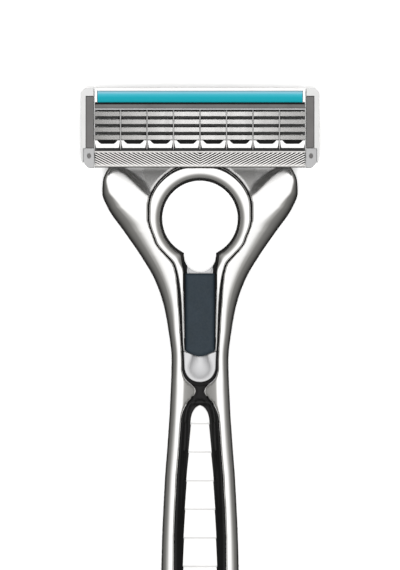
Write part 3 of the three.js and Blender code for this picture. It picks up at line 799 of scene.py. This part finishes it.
def make_grip():
    """Black trough whose glossy walls fall to the white insert, and the stepped insert itself."""
    top, low = GRIP_TOP - 0.1, GRIP_LOW + 0.1
    rows = [(y, (float(grip_half(y)) - 0.1) * share) for y, share in arched(top, low, 4.0, 10, 1.0)]

    def wall(s, y):
        fall = smooth_step((1 - abs(s)) / 0.42)
        end = smooth_step(min(top - y, y - low) / 1.5)
        return float(front_at(y)) - 0.45 - 1.25 * float(fall) * float(end) - 0.35 * abs(s) ** 3

    xs = [math.sin(a) for a in np.linspace(-math.pi / 2, math.pi / 2, 33)]
    trough = grid_cap(xs, rows, wall, 6.3)
    mesh_piece("grip_trough", *trough, "handle", "black_plastic", GLOSS_BLACK, ["grip_core"])

    rows = [(float(y), 0.75 + 0.42 * abs(y + 30.6) ** 1.8) for y in np.linspace(-28.85, -32.7, 24)]
    inlay = grid_cap(xs, rows, lambda s, y: float(front_at(y)) - 1.35 - 0.25 * s * s, 9.2)
    mesh_piece("grip_neck", *inlay, "handle", "black_plastic", GLOSS_BLACK)

    top, low = -33.1, -104.6
    first_step = -36.5
    step_run = 0.34
    steps = [first_step - STEP_PITCH * i for i in range(14)]

    def share_of_step(y):
        run = (first_step - y) / STEP_PITCH
        return run - math.floor(run)

    rows = []
    for y, share in arched(top, low, 2.5, 9, 0.46):
        if all(not -0.1 < y - edge < step_run + 0.1 for edge in steps):
            rows.append((y, share))
    rows += [(edge + d, 1.0) for edge in steps for d in (step_run, 0.02, -0.02)]
    rows.sort(key=lambda r: -r[0])
    kept = [(y, (float(half_at(y)) - 3.9 + 0.1 * share_of_step(y)) * share) for y, share in rows]

    def ribs(s, y):
        share = share_of_step(y)
        end = math.sqrt(max(0.0, min(1.0, min(top - y, y - low) / 0.5)))
        ramp = min(1.0, (1 - share) * STEP_PITCH / step_run)
        rise = 0.42 * ramp * (0.25 + 0.75 * share)
        return float(front_at(y)) - 1.55 + rise - 0.25 * abs(s) ** 4 - 0.2 * (1 - end)

    insert = grid_cap([j / 10 - 1 for j in range(21)], kept, ribs, 8.6)
    piece = mesh_piece("grip_insert_white", *insert, "handle", "white_plastic", WHITE, ["grip_insert"])
    piece.modifiers.new("crisp_steps", "EDGE_SPLIT").split_angle = math.radians(50)


def make_back_pad():
    """Ribbed rubber pad that the razor lies on."""
    rows = [(y, 4.0 * share) for y, share in arched(-52, -100, 4.0, 8, 0.33)]
    grooves = [-58.5 - 5 * i for i in range(8)]

    def ribs(s, y):
        near = min(abs(y - g) for g in grooves)
        dip = 0.55 * float(smooth_step((0.55 - near) / 0.3)) * float(smooth_step((0.93 - abs(s)) / 0.1))
        edge = min((1 - abs(s)) * 4.0, 0.35) / 0.35
        return 0.0 + dip + 0.3 * (1 - math.sqrt(max(0, 1 - (1 - edge) ** 2)))

    points, faces = grid_cap([math.sin(a) for a in np.linspace(-1.5708, 1.5708, 29)], rows, ribs, 1.95)
    faces = [list(face)[::-1] for face in faces]
    mesh_piece("grip_pad", points, faces, "handle", "dark_rubber", RUBBER, ["grip_back_pad"])


def make_butt():
    """Rounded chrome cap with a fine groove where it meets the handle."""
    sections = [(BODY_END - 0.2, 0.93), (BODY_END - 0.3, 0.985), (BODY_END - 0.6, 1.0)]
    depth = BODY_END - 0.6 - BUTT_END
    for a in np.linspace(0.12, 1.54, 12):
        sections.append((BODY_END - 0.6 - depth * math.sin(a), math.cos(a) ** 0.9))
    points, faces = [], []
    around = 48
    for y, share in sections:
        for k in range(around):
            a = 2 * math.pi * k / around
            c, s = math.cos(a), math.sin(a)
            x = 5.0 * share * math.copysign(abs(c) ** (2 / 2.25), c)
            z = 5.4 + 4.5 * share * math.copysign(abs(s) ** (2 / 2.25), s)
            points.append((x, y, z))
    for i in range(len(sections) - 1):
        for k in range(around):
            a, b = i * around + k, i * around + (k + 1) % around
            faces.append([a, b, b + around, a + around])
    faces.append(list(range(around))[::-1])
    faces.append([(len(sections) - 1) * around + k for k in range(around)])
    mesh_piece("butt_end", points, faces, "handle", "chrome", POLISH, ["butt_cap"])


# ---- cartridge pieces ---------------------------------------------------------------------------

def cartridge_piece(name, shape, slot, material, node, bevel=0.0, segments=3):
    piece = mesh_piece(name, *shape, "cartridge", slot, material, node, False)
    if bevel:
        soften(piece, bevel, segments)
    return piece


def make_blades():
    for i in range(4):
        y = FIRST_EDGE - BLADE_PITCH * i
        ground = [(y, EDGE_Z), (y + 0.16, EDGE_Z - 0.19), (y + 0.8, EDGE_Z - 0.47),
                  (y + 0.8, EDGE_Z - 0.33)]
        cartridge_piece(f"blade_strip_{i + 1}", prism(ground, -18.6, 18.6, "x"), "steel", BLADE,
                        [f"blade_{i + 1}"], 0.02, 2)
        # The blades' supports are black: painted shade in the gaps between the blades.
        bent = [(y + 0.3, EDGE_Z - 0.36), (y + 0.3, EDGE_Z - 0.62), (y + 0.62, EDGE_Z - 0.75),
                (y + 0.62, 16.4), (y + 0.9, 16.4), (y + 0.9, EDGE_Z - 0.6)]
        cartridge_piece(f"blade_carrier_{i + 1}", prism(bent, -17.9, 17.9, "x"), "steel", MATT_BLACK_AND_SHADE,
                        [f"blade_support_{i + 1}"], 0.04, 2)


def make_wires():
    """Fine wires bent over the blades like staples."""
    top = EDGE_Z + 0.24
    path = [(19.07, 17.0), (19.07, top - 0.35)] + arc(18.82, top - 0.25, 0.25, 0, 90, 5)
    path += arc(12.5, top - 0.25, 0.25, 90, 180, 5) + [(12.25, 17.0)]
    around, radius = 10, 0.12
    for n in range(1, CELLS):
        x0 = (n - CELLS / 2) * CELL
        points, faces = [], []
        for k, (y, z) in enumerate(path):
            before, after = path[max(k - 1, 0)], path[min(k + 1, len(path) - 1)]
            ty, tz = after[0] - before[0], after[1] - before[1]
            length = math.hypot(ty, tz)
            ny, nz = tz / length, -ty / length
            for j in range(around):
                a = 2 * math.pi * j / around
                c, s = radius * math.cos(a), radius * math.sin(a)
                points.append((x0 + c, y + ny * s, z + nz * s))
        for k in range(len(path) - 1):
            for j in range(around):
                a, b = k * around + j, k * around + (j + 1) % around
                faces.append([a, a + around, b + around, b])
        faces.append(list(range(around)))
        faces.append([(len(path) - 1) * around + j for j in range(around)][::-1])
        mesh_piece(f"wire_{n}", points, faces, "cartridge", "steel", STEEL, [f"wire_wrap_{n}"])


def make_guard():
    """Rail in black, painted shade behind the windows, with one white foot per cell; each foot is a shallow U
    whose sides lean out.
    """
    # The rail's black is painted shade behind the feet's windows.
    rail = prism(rounded_rect(-17.95, 17.95, 12.55, 13.75, 0.2, 3), 17.0, 19.25)
    cartridge_piece("guard_rail", rail, "white_plastic", MATT_BLACK_AND_SHADE, [])
    side = [(2.0, 12.45), (2.14, 13.1), (2.24, 13.8), (1.78, 13.8), (1.5, 13.45), (1.12, 13.18)]
    foot = [(-2.0, 12.45)] + side + [(-x, y) for x, y in side[:0:-1]]
    shapes = []
    for n in range(CELLS):
        x0 = (n - CELLS / 2 + 0.5) * CELL
        shapes.append(prism([(x + x0, y) for x, y in foot], 19.2, EDGE_Z - 0.06))
    cartridge_piece("guard_feet", merged(*shapes), "white_plastic", WHITE, ["guard_bar"], 0.07, 2)


def make_fins():
    """Rubber guard: two fields of slanted fins that meet in a V, between a raised rim above and below."""
    outline = [(9.02, 18.5), (11.9, 18.5), (11.9, 20.2), (11.76, 20.3), (11.62, 20.2), (11.58, 19.5),
               (9.9, 19.95), (9.45, 20.2), (9.2, 20.2), (9.02, 19.9)]
    shapes = [prism(outline, -INNER_HALF, INNER_HALF, "x")]
    low, high = 9.3, 11.62
    run = (high - low) / FIN_SLOPE
    half = 0.09
    x = -run
    while x < INNER_HALF:
        ends = []
        for y in (low, high):
            ends.append((x + (y - low) / FIN_SLOPE, y))
        (xa, ya), (xb, yb) = ends
        if xa < 0:
            ya, xa = ya - xa * FIN_SLOPE, 0.0
        if xb > INNER_HALF - 0.1:
            yb, xb = yb - (xb - INNER_HALF + 0.1) * FIN_SLOPE, INNER_HALF - 0.1
        if xb - xa > 0.3:
            for side in (1, -1):
                shapes.append(fin(xa * side, ya, xb * side, yb, half))
        x += FIN_PITCH
    cartridge_piece("fin_strip", merged(*shapes), "fin_rubber", FIN, ["fin_guard"])


def fin(xa, ya, xb, yb, half):
    """One fin: a wedge along a line, wide at its foot and narrow along its crest."""
    if xa > xb:
        xa, ya, xb, yb = xb, yb, xa, ya
    length = math.hypot(xb - xa, yb - ya)
    nx, ny = -(yb - ya) / length, (xb - xa) / length
    points = []
    for x, y in ((xa, ya), (xb, yb)):
        for offset, z in ((-half, 19.4), (-half * 0.8, 20.36), (half * 0.8, 20.36), (half, 19.4)):
            points.append((x + nx * offset, y + ny * offset, z))
    faces = [[0, 4, 5, 1], [1, 5, 6, 2], [2, 6, 7, 3], [3, 7, 4, 0], [0, 1, 2, 3], [7, 6, 5, 4]]
    return points, faces


def make_strip():
    """Gel strip in its pale tray, and the grey bar below it with its light ledge."""
    outline = [(20.46, 19.3), (22.5, 19.3), (22.5, 20.3), (22.36, 20.6), (22.05, 20.82), (21.6, 20.93),
               (20.9, 20.93), (20.56, 20.86), (20.46, 20.7)]
    gel = prism(outline, -18.05, 18.05, "x")
    cartridge_piece("gel_strip", gel, "teal_strip", TEAL, ["lubricating_strip"], 0.05)
    lower = prism([(20.16, 18.5), (20.44, 18.5), (20.44, 20.3), (20.16, 20.3)], -18.5, 18.5, "x")
    edge = [(22.52, 18.5), (23.05, 18.5), (23.05, 20.3), (22.95, 20.5), (22.52, 20.6)]
    upper = prism(edge, -18.5, 18.5, "x")
    base = prism([(20.46, 18.5), (23.05, 18.5), (23.05, 19.15), (20.46, 19.15)], -18.52, 18.52, "x")
    walls = ((-18.5, -18.12), (18.12, 18.5))
    ends = [prism(rounded_rect(a, b, 20.5, 23.0, 0.08, 2), 18.6, 20.7) for a, b in walls]
    cartridge_piece("strip_holder", merged(base, upper, *ends), "pale_plastic", WHITE, [], 0.06)
    # The tray's lower lip is black: painted shade in the joint between the gel strip and the grey bar.
    cartridge_piece("strip_holder_lip", lower, "pale_plastic", MATT_BLACK_AND_SHADE, ["strip_tray"], 0.03)
    bar = [(19.42, 18.5), (20.14, 18.5), (20.14, 20.42), (20.08, 20.48), (19.5, 20.4), (19.42, 20.3)]
    bar = prism(bar, -INNER_HALF, INNER_HALF, "x")
    cartridge_piece("cap_bar_grey", bar, "grey_plastic", GREY, ["cap_bar"], 0.05)
    ledge = [(19.19, 19.0), (19.4, 19.0), (19.4, 20.22), (19.33, 20.28), (19.19, 20.2)]
    ledge = prism(ledge, -INNER_HALF, INNER_HALF, "x")
    cartridge_piece("cap_bar_ledge", ledge, "pale_plastic", PALE, [], 0.04)


def make_ends():
    for side, sign in (("right", 1), ("left", -1)):
        cap = [(18.72, 22.98), (20.1, 22.98), (20.5, 22.75), (20.98, 22.2), (20.98, 10.8), (20.85, 10.2),
               (20.7, 9.85), (20.6, 9.9), (20.6, 12.35), (20.12, 12.42), (20.12, 21.6), (18.72, 21.6)]
        clip = rounded_rect(18.74, 20.06, 12.45, 21.52, 0.1, 3)
        pad = [(18.66, 12.36), (20.54, 12.36), (20.54, 10.1), (20.3, 9.6), (19.9, 9.15), (19.6, 9.0),
               (18.66, 9.0)]
        shapes = [prism(cap, CART_BACK, 20.88), prism(clip, CART_BACK - 0.15, 20.55)]
        shapes.append(dimpled_pad(pad, DIMPLE, 0.42, 0.56, CART_BACK, 20.45))
        if sign < 0:
            shapes = [mirrored(shape) for shape in shapes]
        cartridge_piece(f"cap_{side}", shapes[0], "white_plastic", CAP_WHITE, [f"end_cap_{side}"], 0.36, 4)
        cartridge_piece(f"clip_{side}", shapes[1], "grey_plastic", GREY, [f"side_clip_{side}"], 0.08)
        cartridge_piece(f"pad_{side}", shapes[2], "pale_plastic", PAD, [f"corner_pad_{side}"], 0.12)
        turns = np.linspace(0, 2 * math.pi, 25)[:-1]
        oval = [(DIMPLE[0] + 0.30 * math.cos(a), DIMPLE[1] + 0.42 * math.sin(a)) for a in turns]
        plug = prism(oval, 19.8, 20.27)
        plug = plug if sign > 0 else mirrored(plug)
        cartridge_piece(f"plug_{side}", plug, "grey_plastic", GREY, [], 0.08)


def dimpled_pad(outline, centre, rx, ry, low, high):
    """Pad with a dished oval in its face: rings step down from the face to the middle of the dish."""
    made = bmesh.new()
    corners = [made.verts.new((x, y, high)) for x, y in outline]
    loop = [made.edges.new((a, b)) for a, b in zip(corners, corners[1:] + corners[:1])]
    count = 24
    rings = []
    for share, depth in ((1, 0), (0.86, 0.03), (0.66, 0.26), (0.4, 0.34)):
        rings.append([made.verts.new((centre[0] + rx * share * math.cos(2 * math.pi * k / count),
                                      centre[1] + ry * share * math.sin(2 * math.pi * k / count),
                                      high - depth)) for k in range(count)])
    first = [made.edges.new((a, b)) for a, b in zip(rings[0], rings[0][1:] + rings[0][:1])]
    bmesh.ops.triangle_fill(made, use_beauty=True, use_dissolve=False, edges=loop + first)
    for a, b in zip(rings, rings[1:]):
        for k in range(count):
            made.faces.new((a[k], a[(k + 1) % count], b[(k + 1) % count], b[k]))
    made.faces.new(rings[-1])
    feet = [made.verts.new((x, y, low)) for x, y in outline]
    n = len(outline)
    for k in range(n):
        made.faces.new((corners[k], corners[(k + 1) % n], feet[(k + 1) % n], feet[k]))
    made.faces.new(feet)
    bmesh.ops.recalc_face_normals(made, faces=made.faces)
    made.verts.index_update()
    shape = [tuple(v.co) for v in made.verts], [[v.index for v in f.verts] for f in made.faces]
    made.free()
    return shape


def finish_cad_nodes():
    """CAD nodes that keep their own shape get the same materials as the pieces round them."""
    shown = {
        "cartridge_housing": HOUSING_AND_GAP_SHADE, "connector_yoke": GREY, "return_plunger": PALE,
        "pivot_pin_left": STEEL, "pivot_pin_right": STEEL,
    }
    for name, material in shown.items():
        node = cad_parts[name]
        node.data.materials.clear()
        node.data.materials.append(material)


# ---- studio -------------------------------------------------------------------------------------

VIEW_Y = -0.0118


def make_studio():
    """White floor that mirrors don't see, and a sky that is bright overhead and dark low down."""
    size = 3.0
    data = bpy.data.meshes.new("floor")
    corners = [(-size, -size), (size, -size), (size, size), (-size, size)]
    data.from_pydata([(x, y, -2e-4) for x, y in corners], [], [(0, 1, 2, 3)])
    floor = bpy.data.objects.new("floor", data)
    bpy.context.scene.collection.objects.link(floor)
    paper = shade("paper", (0.93, 0.93, 0.93), (0.95, 0.95, 0.95), (0.8, 0.9), 0, 40, 0.0)
    data.materials.append(paper)
    floor.visible_glossy = False

    world = bpy.data.worlds.new("studio")
    bpy.context.scene.world = world
    world.use_nodes = True
    tree = world.node_tree
    background = tree.nodes["Background"]
    place = tree.nodes.new("ShaderNodeTexCoord")
    split = tree.nodes.new("ShaderNodeSeparateXYZ")
    span = tree.nodes.new("ShaderNodeMapRange")
    span.inputs["From Min"].default_value = -1
    ramp = tree.nodes.new("ShaderNodeValToRGB")
    tree.links.new(place.outputs["Generated"], split.inputs["Vector"])
    tree.links.new(split.outputs["Z"], span.inputs["Value"])
    tree.links.new(span.outputs["Result"], ramp.inputs["Fac"])
    tree.links.new(ramp.outputs["Color"], background.inputs["Color"])
    # Height of the sky from straight down (0) to straight up (1), and the light that comes from there.
    stops = [(0.0, 0.01), (0.25, 0.03), (0.42, 0.085), (0.56, 0.13), (0.74, 0.19), (0.84, 0.42),
             (0.91, 0.95), (1.0, 1.1)]
    elements = ramp.color_ramp.elements
    while len(elements) < len(stops):
        elements.new(0.5)
    for element, (at, value) in zip(elements, stops):
        element.position = at
        warm = 1 - 0.06 * (1 - min(value, 1))
        element.color = (value, value * (0.985 + 0.015 * min(value, 1)), value * warm, 1)
    background.inputs["Strength"].default_value = 1.15

    lamp = bpy.data.lights.new("overhead", "AREA")
    lamp.shape = "SQUARE"
    lamp.size = 0.1
    lamp.energy = 4.6
    overhead = bpy.data.objects.new("overhead", lamp)
    overhead.location = RING + Vector((0, VIEW_Y, 0.6))
    overhead.visible_glossy = False
    bpy.context.scene.collection.objects.link(overhead)

    # Narrow light that the slanted blades mirror towards the camera along their middle.
    strip = bpy.data.lights.new("blade_light", "AREA")
    strip.shape = "RECTANGLE"
    strip.size, strip.size_y = 0.021, 0.06
    strip.energy = 0.0098
    card = bpy.data.objects.new("blade_light", strip)
    mirror = Vector((0.012, math.sin(math.radians(43.6)), math.cos(math.radians(43.6))))
    card.location = RING + Vector((0, 0.016, 0.020)) + 0.15 * mirror
    card.rotation_euler = mirror.to_track_quat("Z", "Y").to_euler()
    bpy.context.scene.collection.objects.link(card)
    bpy.context.scene.view_settings.view_transform = "Standard"


def make_camera():
    """Looks straight down from far away; the frame is as high as the part of the razor it shows."""
    data = bpy.data.cameras.new("camera")
    camera = bpy.data.objects.new("camera", data)
    bpy.context.scene.collection.objects.link(camera)
    bpy.context.scene.camera = camera
    distance, frame_height, aim_z = 1.6, 0.10058, 0.0165
    data.sensor_width = 36
    data.lens = 36 * distance / frame_height
    data.clip_end = 10
    camera.location = RING + Vector((0, VIEW_Y, aim_z + distance))
    camera.rotation_euler = (0, 0, 0)


make_camera()
make_studio()
make_handle()
make_bezel()
make_seam_shade()
make_bowl()
make_cover()
make_button()
make_slider()
make_spring("button_coil", "button_spring", -19.15, -12.65, 9.0, 7)
make_spring("plunger_coil", "plunger_spring", 10.15, 14.6, 10.0, 6)
make_grip()
make_back_pad()
make_butt()
make_blades()
make_wires()
make_guard()
make_fins()
make_strip()
make_ends()
finish_cad_nodes()
